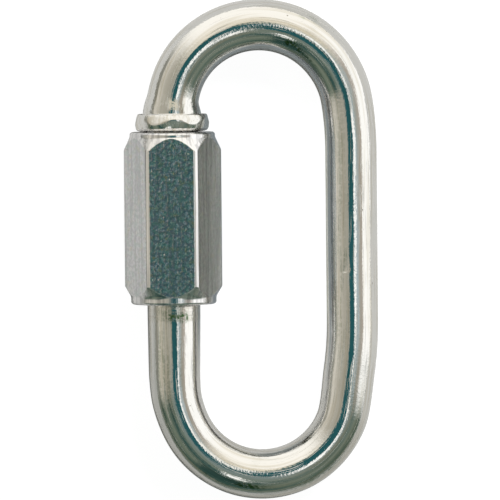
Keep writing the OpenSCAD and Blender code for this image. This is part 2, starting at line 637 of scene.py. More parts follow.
@dataclass(frozen=True)
class GrainyZinc:
    """Zinc plating on drawn hexagon bar: mottled level flats, smoother sides, ends and edges."""

    middle: float
    half_flats: float
    plating: Colour = (0.85, 0.84, 0.84)
    dull: Colour = (0.46, 0.46, 0.47)
    green: Colour = (0.42, 0.68, 0.58)
    violet: Colour = (0.60, 0.56, 0.74)
    smudge: Colour = (0.70, 0.62, 0.42)
    speck: Colour = (0.34, 0.26, 0.17)
    side_share: float = 0.3
    dull_share: float = 0.5
    speck_share: float = 0.6
    turned_rough: float = 0.17
    flat_rough: float = 0.01
    speck_rough: float = 0.25
    grain_depth: float = 0.038 * MM
    grain_scale: float = 2.8
    tint_scale: float = 1.7
    line_share: float = 0.5
    speck_pit: float = 0.5
    streaks: Fade = Fade(0.44, 0.62, 0.0, 0.6)
    pebbles: Fade = Fade(0.42, 0.58, -0.5, 0.5)
    greens: Fade = Fade(0.48, 0.60, 0.0, 0.50)
    violets: Fade = Fade(0.40, 0.50, 0.30, 0.0)
    level_edge: Pair = (0.2 * MM, 0.1 * MM)

    def material(self, effects: Effects) -> bpy.types.Material:
        """Makes the nut's material.

        Args:
            effects: The shared node groups.

        Returns:
            The material, which reads Object coordinates and the share of turned surface.
        """
        material, tree, shader = new_material("grainy_zinc")
        place = tree.add("ShaderNodeTexCoord").outputs["Object"]
        millimetres = tree.scaled(place, (1.0 / MM,) * 3)
        upright = tree.add("ShaderNodeMapping", {
            "Vector": millimetres, "Rotation": (0.0, 0.0, math.radians(-90.0))}).outputs[0]
        flat = tree.math("SUBTRACT", 1.0, tree.attribute(Flow.TURNED, "Fac"))
        lines = effects.place(tree, Effect.DRAWN_LINES, upright, Across=3.0).outputs
        specks = effects.place(tree, Effect.SPECKS, millimetres, Scale=1.4, Share=0.14, Size=0.14)
        marked = specks.outputs["Mask"]
        clouds = effects.place(tree, Effect.CLOUDS, millimetres, Scale=1.3).outputs["Mask"]
        level = self._level(tree, millimetres)
        coarse = tree.total(self.side_share, (level, 1.0 - self.side_share))
        mottled = tree.times(coarse, flat)
        grain = tree.noise(millimetres, self.grain_scale, detail=3.0)
        tint = tree.noise(millimetres, self.tint_scale, detail=4.0)
        uneven = tree.times(tree.fade(grain, self.pebbles), mottled)
        colour = tree.layered(
            self.plating,
            (tree.fade(lines["Broad"], self.streaks), self.dull),
            (tree.total(uneven, (flat, self.dull_share)), self.dull),
            (tree.times(tree.fade(tint, self.greens), mottled), self.green),
            (tree.times(tree.fade(tint, self.violets), mottled), self.violet),
            (tree.times(clouds, mottled), self.smudge),
            (tree.times(marked, self.speck_share), self.speck),
        )
        rough = tree.total(self.turned_rough, (flat, self.flat_rough), (marked, self.speck_rough))
        pebbled = tree.times(grain, mottled)
        height = tree.total(pebbled, (lines["Height"], self.line_share), (marked, -self.speck_pit))
        finish = {"Base Color": colour, "Roughness": rough, "Height": height}
        join_finish(tree, shader, finish, self.grain_depth)
        return material

    def _level(self, tree: Tree, millimetres: Socket) -> Socket:
        """Mask of the two level flats, which lie furthest over and under the nut's axis.

        Args:
            tree: The material's nodes.
            millimetres: Object coordinates in millimetres.

        Returns:
            1 on the level flats and 0 elsewhere.
        """
        height = tree.add("ShaderNodeSeparateXYZ", {0: millimetres}).outputs[2]
        away = tree.math("ABSOLUTE", tree.math("SUBTRACT", height, self.middle / MM))
        low, high = ((self.half_flats - edge) / MM for edge in self.level_edge)
        return tree.fade(away, Fade(low, high))


@dataclass
class NutLeg:
    """Axis of the nut leg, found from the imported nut's box, with the thread that is cut on it."""

    x: float
    z: float
    low_y: float
    high_y: float
    half_flats: float
    thread: ThreadForm

    @classmethod
    def from_frame(cls) -> "NutLeg":
        """Reads the axis and the nut's ends from the frame.

        Returns:
            The nut leg.
        """
        low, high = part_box("sleeve_nut")
        middle = (low + high) / 2
        return cls(middle.x, middle.z, low.y, high.y, (high.z - low.z) / 2, ThreadForm())


class Stretch(IntEnum):
    """Straight runs and arcs of the bar's axis, in their order from the stub's tip."""

    STUB = 0
    TOP_BOW = 1
    TOP_SWEEP = 2
    BACK_LEG = 3
    BOTTOM_SWEEP = 4
    BOTTOM_BOW = 5
    LONG_LEG = 6


@dataclass
class LinkBar:
    """The bent bar: stub, collar, top bow, back leg, bottom bow and the long threaded end."""

    leg: NutLeg
    bar_r: float = 3.0 * MM
    bend_r: float = 2.95 * MM
    top_bow_r: float = 2.99 * MM
    bottom_bow_r: float = 2.89 * MM
    top_taper: float = 0.35 * MM
    bottom_taper: float = 1.05 * MM
    sweep_r: float = 40.0 * MM
    mouth_gap: float = 7.0 * MM
    stub_len: float = 3.0 * MM
    tip_chamfer: float = 0.6 * MM
    nut_gap: float = 0.1 * MM
    collar_h: float = 2.0 * MM
    collar_step: float = 1.3 * MM
    collar_lean: float = 0.07 * MM
    foot_power: int = 6
    top_power: int = 12
    ridge_slope: float = 0.35
    ridge_lean: float = 0.10
    ridge_wave: float = 0.28
    ridge_waves: float = 6.0
    ridge_place: float = 0.16
    ridge_round: float = 0.08
    ridge_at_sides: float = 0.55
    swell_step: float = 0.40 * MM
    swell_h: float = 2.2 * MM
    neck_press: float = 0.55
    thread_stop: float = 1.6 * MM
    run_out: float = 2.0 * MM
    stub_run_out: Pair = (0.5 * MM, 0.05 * MM)
    scuff_len: float = 2.1 * MM
    scuff_under_nut: float = 1.0 * MM
    smear_drop: float = 1.5 * MM
    leg_swell: float = 0.08 * MM
    bow_lead: float = 5.0 * MM
    bow_ease: float = 4.0 * MM
    top_aside: float = -0.15 * MM
    top_aside_run: Pair = (0.0, 8.0 * MM)
    bottom_aside: float = 0.36 * MM
    bottom_aside_run: Pair = (-2.2 * MM, 4.0 * MM)
    wave: float = 0.010 * MM
    short_wave: float = 2.1 * MM
    long_wave: float = 5.3 * MM
    wave_twist: float = 9.0 * MM
    wave_ease: float = 3.0 * MM
    columns: int = 96
    face_rows: int = 4
    tip_rows: int = 12
    stub_rows: int = 54
    collar_side_rows: int = 24
    collar_edge_rows: int = 14
    swell_rows: int = 22
    loop_rows: int = 270
    nick_rows: int = 31
    thread_row: float = 0.05 * MM
    pole_r: float = 0.15 * MM
    face_guard: float = 0.06 * MM
    collar_guard: float = 0.02 * MM

    def __post_init__(self) -> None:
        """Works the loop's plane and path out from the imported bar's box."""
        low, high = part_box("link_bar")
        across = high.x - self.bar_r - self.leg.x
        drop = self.leg.half_flats - self.bar_r
        self.space = math.hypot(across, drop)
        self.roll = math.atan2(drop, across)
        self.top_r = (self.space - self.top_taper) / 2
        self.bottom_r = (self.space - self.bottom_taper) / 2
        self.top_y = high.y - self.bend_r - self.top_r
        self.bottom_y = low.y + self.bend_r + self.bottom_r
        self.collar_y = self.leg.high_y + self.nut_gap
        self.stub_y = self.collar_y - self.stub_len
        self.long_y = self.stub_y - self.mouth_gap
        self._lay_path()
        self.thread_low = self.leg.low_y + self.thread_stop
        self._place_marks()

    def _place_marks(self) -> None:
        """Places the dents and the stains that a handled link has."""
        crown = self.starts[Stretch.TOP_BOW] + self.lengths[Stretch.TOP_BOW] / 2
        back = self.starts[Stretch.BACK_LEG] + self.lengths[Stretch.BACK_LEG] / 2
        bottom_bow = self.starts[Stretch.BOTTOM_BOW]
        foot = self.starts[Stretch.LONG_LEG] - self.bottom_r * math.pi / 2
        neck = self.stub_len + self.collar_h
        under_nut = self._down_leg(self.leg.low_y - self.smear_drop)
        self.nick = Mark(back + 4.0 * MM, 112.0, 0.9 * MM, 0.32 * MM, 0.085 * MM, 0.17 * MM)
        self.dents = (
            Mark(crown + 4.5 * MM, 128.0, 2.2 * MM, 0.9 * MM, 0.05 * MM),
            Mark(crown + 1.0 * MM, 152.0, 1.6 * MM, 0.8 * MM, 0.04 * MM),
            Mark(crown - 6.0 * MM, 146.0, 3.0 * MM, 0.7 * MM, 0.03 * MM),
            self.nick,
            Mark(bottom_bow + 17.0 * MM, 52.0, 2.5 * MM, 0.8 * MM, 0.05 * MM),
        )
        # Under the nut, on the back leg, at the crown of the top bow, at the foot, above the collar
        self.stains = (
            Mark(under_nut, 106.0, 0.40 * MM, 0.75 * MM, 2.0),
            Mark(under_nut + 0.1 * MM, 80.0, 0.40 * MM, 0.7 * MM, 1.3),
            Mark(under_nut + 0.9 * MM, 70.0, 0.50 * MM, 0.9 * MM, 0.5),
            Mark(under_nut - 5.5 * MM, 60.0, 6.0 * MM, 0.95 * MM, 0.45),
            Mark(back - 9.0 * MM, 120.0, 8.0 * MM, 0.8 * MM, 0.28),
            Mark(back + 7.0 * MM, 122.0, 9.0 * MM, 0.8 * MM, 0.28),
            Mark(back + 2.4 * MM, 110.0, 0.8 * MM, 0.45 * MM, 0.45),
            Mark(crown + 6.2 * MM, 40.0, 0.6 * MM, 0.4 * MM, 0.4),
            Mark(crown + 5.2 * MM, 52.0, 0.3 * MM, 0.3 * MM, 0.4),
            Mark(crown + 5.2 * MM, 119.0, 1.2 * MM, 0.45 * MM, 2.0),
            Mark(crown + 7.5 * MM, 126.0, 2.5 * MM, 0.50 * MM, 0.8),
            Mark(foot + 1.8 * MM, 61.0, 1.6 * MM, 0.40 * MM, 2.0),
            Mark(foot + 6.0 * MM, 50.0, 3.0 * MM, 0.40 * MM, 0.9),
            Mark(foot - 5.0 * MM, 44.0, 3.0 * MM, 0.40 * MM, 0.7),
            Mark(neck + 6.0 * MM, 66.0, 0.8 * MM, 0.3 * MM, 0.4),
            Mark(neck + 9.0 * MM, 30.0, 0.15 * MM, 0.15 * MM, 0.6),
            Mark(neck + 1.4 * MM, 64.0, 1.2 * MM, 0.20 * MM, 0.28),
            Mark(neck + 1.2 * MM, 80.0, 1.0 * MM, 0.25 * MM, 0.30),
            Mark(neck + 1.0 * MM, 108.0, 1.0 * MM, 0.12 * MM, 0.35),
            Mark(neck + 2.0 * MM, 142.0, 1.6 * MM, 0.35 * MM, 0.55),
        )

    def _down_leg(self, height: float) -> float:
        """Length along the bar at a height on the long threaded leg."""
        return self.total - (self.long_y - height)

    def _lay_path(self) -> None:
        """Lays the axis from tip to tip as straight runs and arcs of a length and a curvature each."""
        top_sweep = self._sweep_angle(self.top_r, self.top_taper)
        bottom_sweep = self._sweep_angle(self.bottom_r, self.bottom_taper)
        top_back = self.top_y - math.sin(top_sweep) * (self.sweep_r - self.top_r)
        bottom_back = self.bottom_y + math.sin(bottom_sweep) * (self.sweep_r - self.bottom_r)
        parts = {
            Stretch.STUB: (self.top_y - self.stub_y, 0.0),
            Stretch.TOP_BOW: (self.top_r * (math.pi - top_sweep), 1 / self.top_r),
            Stretch.TOP_SWEEP: (self.sweep_r * top_sweep, 1 / self.sweep_r),
            Stretch.BACK_LEG: (top_back - bottom_back, 0.0),
            Stretch.BOTTOM_SWEEP: (self.sweep_r * bottom_sweep, 1 / self.sweep_r),
            Stretch.BOTTOM_BOW: (self.bottom_r * (math.pi - bottom_sweep), 1 / self.bottom_r),
            Stretch.LONG_LEG: (self.long_y - self.bottom_y, 0.0),
        }
        self.lengths, self.bends = np.array([parts[part] for part in Stretch]).T
        self.starts = np.concatenate([[0.0], np.cumsum(self.lengths)[:-1]])
        self.total = float(self.lengths.sum())
        turned = np.cumsum(self.lengths * self.bends)
        self.headings = math.pi / 2 - np.concatenate([[0.0], turned[:-1]])
        self.corners = np.zeros((len(Stretch), 2))
        self.corners[0] = (0.0, self.stub_y)
        for part in list(Stretch)[1:]:
            here = self.starts[part : part + 1]
            self.corners[part] = self._plane_points(here, np.array([part - 1]))[0][0]

    def _sweep_angle(self, radius: float, taper: float) -> float:
        """Angle at which a bow of this radius meets the slow sweep that takes up the taper."""
        return math.acos(1.0 - taper / (self.sweep_r - radius))

    def _plane_points(self, along: np.ndarray, part: np.ndarray) -> tuple[np.ndarray, np.ndarray]:
        """Points and headings of the axis in the loop's plane.

        On an arc of curvature k the heading falls by k times the length run, and the point moves by
        the difference of the headings' sines and cosines over k. On a straight run it moves along.

        Args:
            along: Lengths run from the stub's tip.
            part: Number of the run or arc that each length lies on.

        Returns:
            Points (from the nut leg, up the link) and headings.
        """
        start = self.headings[part]
        bend = self.bends[part]
        gone = along - self.starts[part]
        heading = start - bend * gone
        curved = bend > 0
        safe = np.where(curved, bend, 1.0)
        x_arc = (np.sin(start) - np.sin(heading)) / safe
        y_arc = (np.cos(heading) - np.cos(start)) / safe
        move_x = np.where(curved, x_arc, gone * np.cos(start))
        move_y = np.where(curved, y_arc, gone * np.sin(start))
        points = self.corners[part] + np.stack([move_x, move_y], axis=-1)
        return points, heading

    def _path(self, along: np.ndarray) -> tuple[np.ndarray, np.ndarray, np.ndarray]:
        """Axis of the bar in space: the loop's plane, rolled about the nut leg.

        Args:
            along: Lengths run from the stub's tip.

        Returns:
            Axis points, outward directions in the loop's plane and that plane's normal.
        """
        part = np.searchsorted(self.starts, along, side="right") - 1
        points, heading = self._plane_points(along, np.clip(part, 0, len(self.lengths) - 1))
        across = np.array([math.cos(self.roll), 0.0, -math.sin(self.roll)])
        up = np.array([0.0, 1.0, 0.0])
        normal = np.cross(across, up)
        places = points[:, :1] * across + points[:, 1:] * up
        places = places + np.array([self.leg.x, 0.0, self.leg.z])
        places = places + self._aside(points[:, 1])[:, None] * across
        tangents = np.cos(heading)[:, None] * across + np.sin(heading)[:, None] * up
        return places, np.cross(normal, tangents), normal

    def _aside(self, height: np.ndarray) -> np.ndarray:
        """How far the bent bows lie off their true place, eased in near the legs' ends.

        Args:
            height: Height of each axis point up the link.

        Returns:
            Shift of each point across the loop.
        """
        top = smooth_step(height - self.top_y, *self.top_aside_run)
        bottom = smooth_step(self.bottom_y - height, *self.bottom_aside_run)
        return self.top_aside * top + self.bottom_aside * bottom

    def _profile(self) -> np.ndarray:
        """Rows of the bar as pairs of length along the axis and radius, from tip to tip.

        The loop's even rows have finer ones between them at the nick, from two of its tails before
        it to four after it.

        Returns:
            Pairs of length and radius.
        """
        minor_r = self.bar_r - self.tip_chamfer
        face_r = minor_r - self.face_guard
        collar_top = self.stub_len + self.collar_h
        swell_end = collar_top + self.swell_h
        stub_end = self.stub_len - self.collar_guard
        thread_end = self._down_leg(self.thread_low - self.run_out)
        end_s = self.total - self.tip_chamfer
        face = run((0.0, self.pole_r), (0.0, face_r), self.face_rows)
        tip = run((0.0, minor_r), (self.tip_chamfer, self.bar_r), self.tip_rows)[:-1]
        stub = run((self.tip_chamfer, self.bar_r), (stub_end, self.bar_r), self.stub_rows)
        swell_s = np.linspace(collar_top, swell_end, self.swell_rows)[1:]
        gone = (swell_s - collar_top) / self.swell_h
        swell_r = self.top_bow_r + self.swell_step * (1.0 - smooth_step(gone, 0.0, 1.0))
        swell = np.stack([swell_s, swell_r], axis=-1)
        even_s = np.linspace(swell_end, thread_end, self.loop_rows)[1:-1]
        nick_s = self.nick.along + self.nick.tail * np.linspace(-2.0, 4.0, self.nick_rows)
        loop_s = np.sort(np.append(even_s, nick_s))
        thread_rows = int(round((end_s - thread_end) / self.thread_row))
        thread_s = np.linspace(thread_end, end_s, thread_rows)
        bent_s = np.concatenate([loop_s, thread_s])
        bent = np.stack([bent_s, self._bent_radius(bent_s)], axis=-1)
        far_tip = run((end_s, self.bar_r), (self.total, minor_r), self.tip_rows)[1:]
        far_face = run((self.total, face_r), (self.total, self.pole_r), self.face_rows)
        return np.vstack([face, tip, stub, self._collar_rows(), swell, bent, far_tip, far_face])

    def _bent_radius(self, along: np.ndarray) -> np.ndarray:
        """Radius of the loop: each bow's own, easing to the full bar on the legs, with a swell.

        The swell rises up the long leg to the nut's lower end and is gone where the thread is full.

        Args:
            along: Lengths run from the stub's tip.

        Returns:
            Radius of the bar at each length.
        """
        back_start = self.starts[Stretch.TOP_SWEEP]
        back_end = self.starts[Stretch.BOTTOM_BOW]
        leg_start = self.starts[Stretch.LONG_LEG]
        back = smooth_step(along, back_start - self.bow_lead, back_start + self.bow_ease)
        back = back * (1.0 - smooth_step(along, back_end - self.bow_ease, back_end + self.bow_lead))
        leg = smooth_step(along, leg_start - self.bow_lead, leg_start + self.bow_ease)
        under_nut = self._down_leg(self.leg.low_y)
        swell = smooth_step(along, leg_start, under_nut)
        swell = swell * (1.0 - smooth_step(along, under_nut, self._down_leg(self.thread_low)))
        bow_r = np.where(along < self.total / 2, self.top_bow_r, self.bottom_bow_r)
        full = bow_r + (self.bar_r - bow_r) * np.maximum(back, leg)
        return full + self.leg_swell * swell

    def _collar_rows(self) -> np.ndarray:
        """Rows over the collar.

        Over x from -1 to 1 along the collar its side is straight, and a superellipse at its foot
        and one at its top round its edges off to the bar under it and the swollen bar over it.

        Returns:
            Pairs of length and radius.
        """
        side_r = self.bar_r + self.collar_step
        foot = (-1, self.foot_power, self.bar_r)
        top = (1, self.top_power, self.top_bow_r + self.swell_step)
        sides = []
        for sign, power, root_r in (foot, top):
            turn = 2.0 ** (-1.0 / power)
            middle = np.linspace(0.0, turn, self.collar_side_rows)
            rise = np.linspace(turn, 0.0, self.collar_edge_rows)[1:]
            x = np.concatenate([middle, (1.0 - rise**power) ** (1.0 / power)])
            share = np.concatenate([(1.0 - middle**power) ** (1.0 / power), rise])
            along = self.stub_len + self.collar_h / 2 * (1.0 + sign * x)
            sides.append(np.stack([along, root_r + (side_r - root_r) * share], axis=-1))
        return np.vstack([sides[0][::-1], sides[1][1:]])

    def _cut(self, along: np.ndarray, radius: np.ndarray, angle: np.ndarray) -> np.ndarray:
        """Radius over the grid once the thread is cut at both ends.

        The thread's depth is full from each tip and fades out before the collar and over the
        run-out of the long end; the tips' chamfers stay where they lie deeper.

        Args:
            along: Length of each row.
            radius: Radius of each row before the thread.
            angle: Angle of each grid point round the nut leg.

        Returns:
            Radius at every grid point.
        """
        from_end = self.total - along
        height = np.where(along < self.total / 2, self.stub_y + along, self.long_y - from_end)
        stub_low, stub_high = (self.stub_len - before for before in self.stub_run_out)
        stub_fade = 1.0 - smooth_step(along, stub_low, stub_high)
        full = self.long_y - self.thread_low
        long_fade = 1.0 - smooth_step(from_end, full, full + self.run_out)
        fade = np.where(along < self.total / 2, stub_fade, long_fade)[:, None]
        groove = self.leg.thread.groove(height[:, None], angle)
        crest = np.maximum(radius, self.bar_r)[:, None]
        threaded = crest - self.leg.thread.depth * fade * groove
        return np.where(fade > 0.0, np.minimum(radius[:, None], threaded), radius[:, None])

    def build(self) -> bpy.types.Object:
        """Builds the bar's mesh.

        Each row is a circle square to the axis at its length, with the row's radius less the
        thread, the dents and a slight waviness that a bent bar has.

        Returns:
            The bar, riding on the link body and standing for its node.
        """
        rows = self._profile()
        along, radius = rows[:, 0], rows[:, 1]
        theta = np.linspace(0.0, TURN, self.columns, endpoint=False)[None, :]
        places, outward, normal = self._path(along)
        spoke = outward[:, None, :] * np.cos(theta)[..., None]
        spoke = spoke + normal * np.sin(theta)[..., None]
        angle = np.arctan2(spoke[..., 0], spoke[..., 2])
        cut = self._cut(along, radius, angle)
        along, radius = along[:, None], radius[:, None]
        shift, fall = self._collar_form(along, theta)
        cut = cut - self._unevenness(along, theta) - fall - self._neck_flat(along, radius, theta)
        points = places[:, None, :] + spoke * cut[..., None]
        points[..., 1] += shift
        piece = make_piece("bent_bar", points, Ends.POLES)
        length = np.broadcast_to(along, cut.shape)
        straight = np.stack([length, cut * np.cos(theta), cut * np.sin(theta)], axis=-1)
        store_vectors(piece, Flow.ALONG_BAR, straight / MM, Ends.POLES)
        soiled = sum(mark.spread(along, theta, self.bar_r) for mark in self.stains)
        store_values(piece, Flow.STAINED, np.minimum(soiled, 1.0), Ends.POLES)
        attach(piece, "link")
        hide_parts("link_bar")
        return piece

    def _collar_form(self, along: np.ndarray, theta: np.ndarray) -> tuple[np.ndarray, np.ndarray]:
        """Uneven form of the pressed collar.

        Over x from -1 at its foot to 1 at its top the side falls away from a wavy ridge on both
        sides like a roof, more on the front and back than at the loop's sides. A superellipse eases
        it out at the edges, and the whole collar leans.

        Args:
            along: Length of each row.
            theta: Angle of each column round the bar.

        Returns:
            Shift up the leg and fall towards the axis at every grid point.
        """
        half = self.collar_h / 2
        x = np.clip((along - self.stub_len) / half - 1.0, -1.0, 1.0)
        away = x - self.ridge_place + self.ridge_wave * np.cos(self.ridge_waves * theta)
        slope = np.hypot(away, self.ridge_round) - self.ridge_round
        roof = self.ridge_slope * slope + self.ridge_lean * away
        roof = roof * (self.ridge_at_sides + (1.0 - self.ridge_at_sides) * np.sin(theta) ** 2)
        share = (1.0 - np.abs(x) ** self.top_power) ** (1.0 / self.top_power)
        lean = self.collar_lean * -np.cos(theta) * np.sqrt(1.0 - x * x)
        return lean, half * roof * share

    def _neck_flat(self, along: np.ndarray, radius: np.ndarray, theta: np.ndarray) -> np.ndarray:
        """How far the swollen bar over the collar is pressed in at its front and back.

        Args:
            along: Length of each row.
            radius: Radius of each row before it is pressed.
            theta: Angle of each column round the bar.

        Returns:
            A share of the swell times the squared sine of the angle.
        """
        collar_top = self.stub_len + self.collar_h
        tolerance = 0.001 * MM
        neck = (along > collar_top - tolerance) & (along < collar_top + self.swell_h)
        swollen = np.where(neck, radius - self.top_bow_r, 0.0)
        return swollen * self.neck_press * np.sin(theta) ** 2

    def _unevenness(self, along: np.ndarray, theta: np.ndarray) -> np.ndarray:
        """Waves and dents of the loop, none on the threads and the collar.

        The waves are two sines of the length, of a short and a long reach, each turning round the
        bar in its own way, and the dents are added to them.

        Args:
            along: Length of each row.
            theta: Angle of each column round the bar.

        Returns:
            How far each grid point lies under the round bar.
        """
        first = self.stub_len + self.collar_h + self.swell_h
        last = self._down_leg(self.thread_low - self.run_out)
        loop = smooth_step(along, first, first + self.wave_ease)
        loop = loop * (1.0 - smooth_step(along, last - self.wave_ease, last))
        short = np.sin(along / self.short_wave + 1.3 * np.sin(theta)) * np.cos(theta - 0.4)
        long = np.sin(along / self.long_wave + 2.0) * np.cos(2.0 * theta + along / self.wave_twist)
        low = self.wave * (0.5 + 0.25 * (short + long))
        for dent in self.dents:
            low = low + dent.spread(along, theta, self.bar_r)
        return low * loop

    def dress(self, piece: bpy.types.Object, effects: Effects) -> None:
        """Gives the bar its plating, rubbed dull where the nut's end runs.

        Args:
            piece: The bar.
            effects: The shared node groups.
        """
        scuff_from = self._down_leg(self.leg.low_y - self.scuff_len)
        scuff_to = self._down_leg(self.leg.low_y + self.scuff_under_nut)
        piece.data.materials.append(DrawnZinc(scuff_from, scuff_to).material(effects))


@dataclass
class SleeveNut:
    """The hexagonal sleeve nut: six flats, a land and a chamfer at each end, a threaded bore."""

    leg: NutLeg
    edge_r: float = 0.55 * MM
    edge_wear: float = 0.35
    land_h: float = 0.9 * MM
    land_inset: float = 0.04 * MM
    chamfer_angle_deg: float = 31.0
    top_land_h: float = 0.57 * MM
    top_chamfer_angle_deg: float = 25.0
    rim_break: float = 0.2 * MM
    thread_len: float = 12.0 * MM
    thread_r: float = 3.1 * MM
    relief_r: float = 3.3 * MM
    countersink: float = 0.6 * MM
    thread_start: float = 1.6 * MM
    thread_fade: float = 2.0 * MM
    thread_lead: float = 0.3 * MM
    thread_low_gap: float = 0.1 * MM
    thread_high_gap: float = 0.15 * MM
    thread_row: float = 0.06 * MM
    mouth_cut: float = 0.08 * MM
    face_cut: float = 0.1 * MM
    rim_cut: float = 0.22 * MM
    land_cut: float = 0.3 * MM
    chamfer_cut: float = 0.14 * MM
    sink_cut: float = 0.1 * MM
    step_cut: float = 0.05 * MM
    corner_steps: int = 5
    flat_columns: int = 16
    flat_guard: float = 0.05 * MM
    flat_tolerance: float = 0.004 * MM
    edge_columns: int = 8

    def __post_init__(self) -> None:
        """Takes the length from the nut's packed box."""
        self.length = self.leg.high_y - self.leg.low_y

    def _outline(self) -> tuple[np.ndarray, np.ndarray, np.ndarray]:
        """Rounded hexagon round the axis.

        One sixth is a flat at half the size across the flats, with closer points near its ends,
        and an arc of the edge radius through 60 degrees, drawn towards its chord by the wear;
        turning it six times gives the rest.

        Returns:
            Angles round +Y from +Z, radii, and 1 for each column on a worn edge or else 0.
        """
        core = self.leg.half_flats - self.edge_r
        half = core * math.tan(math.pi / 6)
        guard = half - self.flat_guard
        inner = np.linspace(-guard, guard, self.flat_columns - 2)
        flat_t = np.concatenate([[-half], inner, [half]])
        flat = np.stack([flat_t, np.full_like(flat_t, self.leg.half_flats)], axis=-1)
        lean = np.linspace(0.0, math.pi / 3, self.edge_columns + 2)[1:-1]
        bulge = self.edge_r * np.stack([np.sin(lean), np.cos(lean)], axis=-1)
        arc = np.array([half, core]) + bulge
        share = (lean / (math.pi / 3))[:, None]
        low_end = np.array([half + self.edge_r * math.sin(math.pi / 3), core + self.edge_r / 2])
        chord = flat[-1] + (low_end - flat[-1]) * share
        sixth = np.vstack([flat, arc + (chord - arc) * self.edge_wear])
        angle = np.arctan2(sixth[:, 0], sixth[:, 1])
        turns = np.arange(6) * math.pi / 3
        angles = (turns[:, None] + angle[None, :]).ravel()
        worn = np.concatenate([np.zeros(len(flat)), np.ones(len(arc))])
        return angles, np.tile(np.linalg.norm(sixth, axis=-1), 6), np.tile(worn, 6)

    def _corners(self, radius: np.ndarray) -> tuple[np.ndarray, np.ndarray]:
        """Corners of every column's section, outside from the bottom up and down the bore.

        Each end has its own land and chamfer. A chamfer's cone leaves the land at its angle, so it
        meets a column of a given radius at the land's height plus the radius beyond the land over
        the angle's tangent.

        Args:
            radius: Radius of the hexagon at each column.

        Returns:
            Array of corners by columns by two: radius and height over the nut's bottom; and the cut
            that rounds each corner.
        """
        land_r = self.leg.half_flats - self.land_inset
        beyond = radius - land_r
        rise = self.land_h + beyond / math.tan(math.radians(self.chamfer_angle_deg))
        fall = self.top_land_h + beyond / math.tan(math.radians(self.top_chamfer_angle_deg))
        top = self.length
        step = top - self.thread_len
        corners = [
            (self.relief_r + self.countersink, 0.0, self.mouth_cut),
            (land_r - self.rim_break, 0.0, self.face_cut),
            (land_r, self.rim_break, self.rim_cut),
            (land_r, self.land_h, self.land_cut),
            (radius, rise, self.chamfer_cut),
            (radius, top - fall, self.chamfer_cut),
            (land_r, top - self.top_land_h, self.land_cut),
            (land_r, top - self.rim_break, self.rim_cut),
            (land_r - self.rim_break, top, self.face_cut),
            (self.thread_r + self.countersink, top, self.mouth_cut),
            (self.thread_r, top - self.countersink, self.sink_cut),
            (self.thread_r, step, self.step_cut),
            (self.relief_r, step, self.step_cut),
            (self.relief_r, self.countersink, self.sink_cut),
        ]
        whole = [np.broadcast_arrays(out, up, radius)[:2] for out, up, _ in corners]
        points = np.stack([np.stack(pair, axis=-1) for pair in whole])
        return points, np.array([cut for _, _, cut in corners])

    def _section(self, angle: np.ndarray, radius: np.ndarray) -> np.ndarray:
        """Rows of the nut's section with rounded corners and the thread cut into its bore.

        The thread's own rows lie between the countersink's corner and the one at the bore's step.

        Args:
            angle: Angle of each column.
            radius: Radius of the hexagon at each column.

        Returns:
            Array of rows by columns by two: radius and height over the nut's bottom.
        """
        corners, cuts = self._corners(radius)
        rows = rounded_ring(corners, cuts, self.corner_steps)
        rows_each = len(rows) // len(corners)
        corners_above_thread = 11
        split = corners_above_thread * rows_each
        high = self.length - self.countersink - self.thread_high_gap
        low = self.length - self.thread_len + self.thread_low_gap
        count = int(round((high - low) / self.thread_row))
        height = np.linspace(high, low, count)
        start = low + self.thread_start
        fade = smooth_step(height, start, start + self.thread_fade)
        fade = fade * (1.0 - smooth_step(height, high - self.thread_lead, high))
        groove = self.leg.thread.groove(self.leg.low_y + height[:, None], angle[None, :])
        bore = self.thread_r - self.leg.thread.depth * groove * fade[:, None]
        thread = np.stack([bore, np.broadcast_to(height[:, None], bore.shape)], axis=-1)
        return np.concatenate([rows[:split], thread, rows[split:]])

    def build(self) -> bpy.types.Object:
        """Builds the nut's mesh.

        Every column of the outline carries the section's rows at its own angle, and the section
        closes on itself, so the nut is one ring of rings.

        Returns:
            The nut, riding on the nut body and standing for its node.
        """
        angle, radius, worn = self._outline()
        rows = self._section(angle, radius)
        x = self.leg.x + rows[..., 0] * np.sin(angle)[None, :]
        z = self.leg.z + rows[..., 0] * np.cos(angle)[None, :]
        y = self.leg.low_y + rows[..., 1]
        piece = make_piece("hexagon_sleeve", np.stack([x, y, z], axis=-1), Ends.RING)
        on_flat = np.isclose(rows[..., 0], radius[None, :], rtol=0.0, atol=self.flat_tolerance)
        store_values(piece, Flow.TURNED, np.where(on_flat, worn[None, :], 1.0), Ends.RING)
        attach(piece, "nut")
        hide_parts("sleeve_nut")
        return piece

    def dress(self, piece: bpy.types.Object, effects: Effects) -> None:
        """Gives the nut its plating."""
        piece.data.materials.append(GrainyZinc(self.leg.z, self.leg.half_flats).material(effects))


